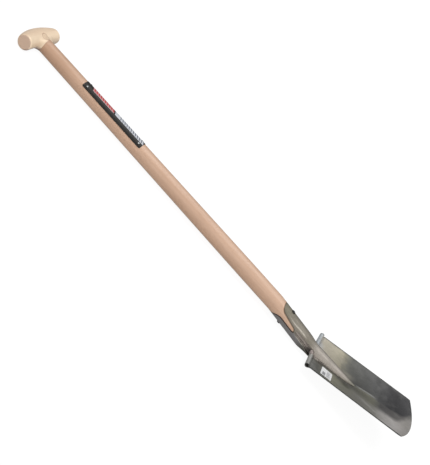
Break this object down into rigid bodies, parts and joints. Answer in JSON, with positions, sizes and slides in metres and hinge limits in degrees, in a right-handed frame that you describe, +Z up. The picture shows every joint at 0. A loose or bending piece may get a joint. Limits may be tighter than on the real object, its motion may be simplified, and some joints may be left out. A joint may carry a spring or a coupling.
{
  "type": "spade",
  "caption": "Narrow strapped garden spade with a dished steel blade, rolled treads, a long wooden shaft and a wooden T grip, lying on its back.",
  "frame": {"origin": "middle of the tool's footprint, on the surface it lies on", "axes": "+X along the shaft from the T grip towards the cutting edge, +Y across the blade, +Z up from the surface, out of the blade's hollow front side"},
  "size_m": [1.1162, 0.1482, 0.0769],
  "materials": {
    "grip_wood": "pale, smooth, clear varnish",
    "pin_wood": "end grain of a flush dowel",
    "shaft_wood": "straight grain, satin varnish",
    "label_plastic": "satin black with plain printed bars",
    "label_pin_steel": "plain domed heads",
    "front_strap_steel": "ground and lacquered",
    "back_strap_steel": "ground and lacquered, darker",
    "rivet_steel": "dark domed heads",
    "blade_steel": "polished and lacquered",
    "sticker_paper": "white label stock with plain grey blocks"
  },
  "bodies": {
    "root": {"grip": "grip_wood", "grip_pin": "pin_wood", "shaft": "shaft_wood", "label_strip": "label_plastic", "label_pin_1": "label_pin_steel", "label_pin_2": "label_pin_steel", "label_pin_3": "label_pin_steel", "label_pin_4": "label_pin_steel", "front_strap": "front_strap_steel", "back_strap": "back_strap_steel", "rivet": "rivet_steel", "blade": "blade_steel", "sticker": "sticker_paper"}
  },
  "joints": []
}
